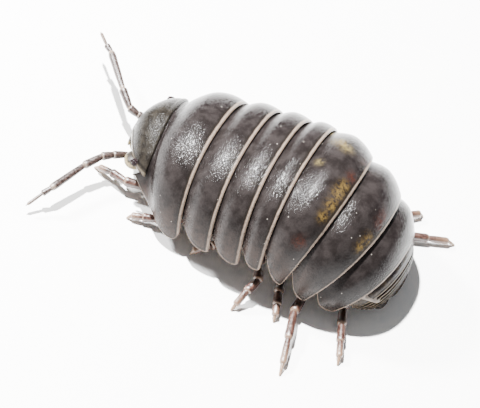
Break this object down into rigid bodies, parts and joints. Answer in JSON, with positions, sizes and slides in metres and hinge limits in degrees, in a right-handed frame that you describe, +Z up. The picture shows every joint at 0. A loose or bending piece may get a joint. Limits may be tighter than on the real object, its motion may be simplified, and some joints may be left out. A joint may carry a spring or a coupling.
{
  "type": "pill woodlouse",
  "caption": "Still life-size pill woodlouse: domed body of overlapping plates, a small head with bent feelers, walking legs and a short blunt tail, in a slow stride.",
  "frame": {"origin": "on the floor under the middle of the model's box", "axes": "+X towards the head, +Y towards the animal's left, +Z up"},
  "size_m": [0.0186, 0.0132, 0.0057],
  "materials": {
    "plate": "horny, finely granular, satin",
    "head": "horny, finely pitted, satin",
    "tail": "horny, finely granular, satin",
    "leg": "horny, smooth, a little translucent",
    "antenna": "horny, smooth, satin",
    "eye": "smooth, glossy"
  },
  "bodies": {
    "root": {"head": "head", "eye_left": "eye", "eye_right": "eye", "antenna_left": "antenna", "antenna_right": "antenna", "pereonite_1": "plate", "pereonite_2": "plate", "pereonite_3": "plate", "pereonite_4": "plate", "pereonite_5": "plate", "pereonite_6": "plate", "pereonite_7": "plate", "pleon": "tail", "pleotelson": "tail", "uropod_left": "tail", "uropod_right": "tail", "leg_left_1": "leg", "leg_left_2": "leg", "leg_left_3": "leg", "leg_left_4": "leg", "leg_left_5": "leg", "leg_left_6": "leg", "leg_left_7": "leg", "leg_right_1": "leg", "leg_right_2": "leg", "leg_right_3": "leg", "leg_right_4": "leg", "leg_right_5": "leg", "leg_right_6": "leg", "leg_right_7": "leg"}
  },
  "joints": []
}
